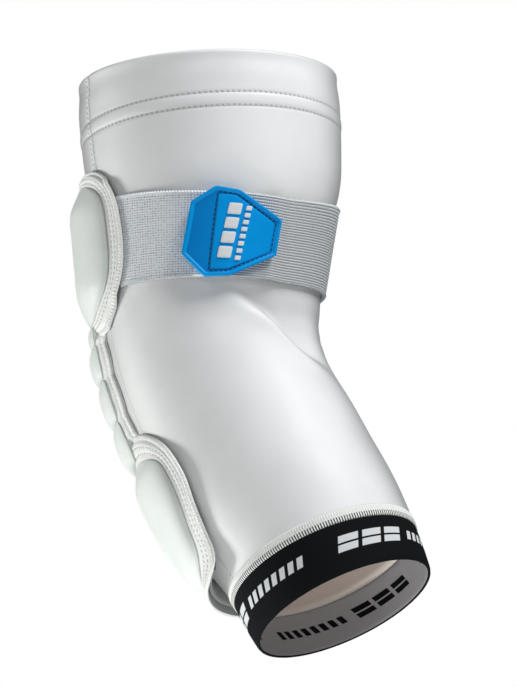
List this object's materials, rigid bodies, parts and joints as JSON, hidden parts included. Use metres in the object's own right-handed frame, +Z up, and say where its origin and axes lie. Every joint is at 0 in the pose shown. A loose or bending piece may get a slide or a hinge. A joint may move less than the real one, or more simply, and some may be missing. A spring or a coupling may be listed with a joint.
{
  "type": "lacrosse arm pad",
  "caption": "Bent-arm padded sleeve with a knit tube, hem, cuff, elbow-side pads and an upper-arm strap with a pull tab.",
  "frame": {"origin": "centre of the strap's ring round the upper arm, on the arm's axis", "axes": "+Z up along the upper arm, +X towards the inner side that the forearm bends to, pads on -X, pull tab on -Y"},
  "size_m": [0.1604, 0.1163, 0.2634],
  "materials": {
    "sleeve_knit": "white stretch knit with a faint sheen",
    "cuff_elastic": "black woven elastic, light grey inside",
    "pad_backing": "grey brushed backing cloth",
    "pad_border": "white knit binding with overcast edge",
    "pad_foam": "smooth pale moulded foam cover",
    "strap_elastic": "silver-grey loop-faced elastic webbing",
    "tab_rubber": "blue moulded soft rubber, satin"
  },
  "bodies": {
    "root": {"sleeve_panel": "sleeve_knit", "back_panel": "sleeve_knit", "top_hem": "sleeve_knit", "cuff_band": "cuff_elastic", "upper_backing": "pad_backing", "elbow_backing": "pad_backing", "forearm_backing": "pad_backing", "upper_border": "pad_border", "elbow_border": "pad_border", "forearm_border": "pad_border", "upper_dome": "pad_foam", "elbow_lobe_1": "pad_foam", "elbow_lobe_2": "pad_foam", "elbow_lobe_3": "pad_foam", "elbow_lobe_4": "pad_foam", "forearm_dome": "pad_foam", "strap_landing": "strap_elastic", "strap_free_end": "strap_elastic", "pull_tab": "tab_rubber"}
  },
  "joints": []
}
